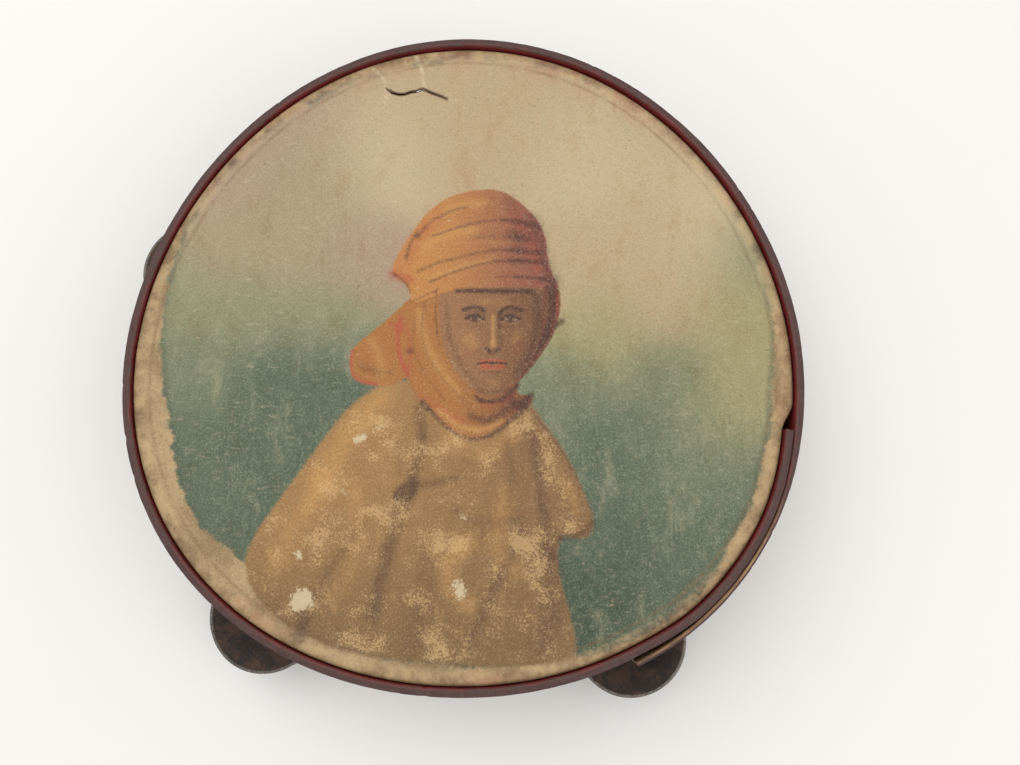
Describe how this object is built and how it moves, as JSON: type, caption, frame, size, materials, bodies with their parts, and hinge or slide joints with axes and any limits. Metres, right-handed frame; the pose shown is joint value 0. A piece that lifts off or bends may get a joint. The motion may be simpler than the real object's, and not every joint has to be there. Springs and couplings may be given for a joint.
{
  "type": "tambourine",
  "caption": "Hand drum with a bentwood hoop, a painted skin head tacked inside it and pairs of loose iron jingles on wire pins in slots round its wall.",
  "frame": {"origin": "middle of the whole outline, jingles included, on the surface that the drum lies on, head up", "axes": "+Z along the drum's axis, out of the head; +Y towards the top of the painting; +X to its right"},
  "size_m": [0.2272, 0.2388, 0.048],
  "materials": {
    "painted_wood": "old maroon paint, rubbed to grey-brown wood along the edges",
    "bare_wood": "raw bent beech, darkened by handling",
    "painted_skin": "stretched parchment painted in thin matt oils",
    "tack_iron": "black oxide with brown rust",
    "pin_wire": "dull wire with brown rust",
    "jingle_iron": "thin sheet iron with a near-black patina, rubbed paler on the rim"
  },
  "bodies": {
    "drum": {"hoop": "painted_wood", "flesh_hoop": "bare_wood", "drumhead": "painted_skin", "head_tacks": "tack_iron", "lap_nails": "tack_iron", "jingle_pin_1": "pin_wire", "jingle_pin_2": "pin_wire", "jingle_pin_3": "pin_wire", "jingle_pin_4": "pin_wire"},
    "lower_jingle_1": {"jingle_1_lower": "jingle_iron"},
    "upper_jingle_1": {"jingle_1_upper": "jingle_iron"},
    "lower_jingle_2": {"jingle_2_lower": "jingle_iron"},
    "upper_jingle_2": {"jingle_2_upper": "jingle_iron"},
    "lower_jingle_3": {"jingle_3_lower": "jingle_iron"},
    "upper_jingle_3": {"jingle_3_upper": "jingle_iron"},
    "lower_jingle_4": {"jingle_4_lower": "jingle_iron"},
    "upper_jingle_4": {"jingle_4_upper": "jingle_iron"}
  },
  "joints": [
    {"name": "lower_jingle_1_lift", "type": "slide", "parent": "drum", "child": "lower_jingle_1", "axis": [0, 0, 1], "range_m": [0, 0.0028]},
    {"name": "upper_jingle_1_lift", "type": "slide", "parent": "lower_jingle_1", "child": "upper_jingle_1", "axis": [0, 0, 1], "range_m": [0, 0.0028]},
    {"name": "lower_jingle_2_lift", "type": "slide", "parent": "drum", "child": "lower_jingle_2", "axis": [0, 0, 1], "range_m": [0, 0.0028]},
    {"name": "upper_jingle_2_lift", "type": "slide", "parent": "lower_jingle_2", "child": "upper_jingle_2", "axis": [0, 0, 1], "range_m": [0, 0.0028]},
    {"name": "lower_jingle_3_lift", "type": "slide", "parent": "drum", "child": "lower_jingle_3", "axis": [0, 0, 1], "range_m": [0, 0.0028]},
    {"name": "upper_jingle_3_lift", "type": "slide", "parent": "lower_jingle_3", "child": "upper_jingle_3", "axis": [0, 0, 1], "range_m": [0, 0.0028]},
    {"name": "lower_jingle_4_lift", "type": "slide", "parent": "drum", "child": "lower_jingle_4", "axis": [0, 0, 1], "range_m": [0, 0.0028]},
    {"name": "upper_jingle_4_lift", "type": "slide", "parent": "lower_jingle_4", "child": "upper_jingle_4", "axis": [0, 0, 1], "range_m": [0, 0.0028]}
  ]
}
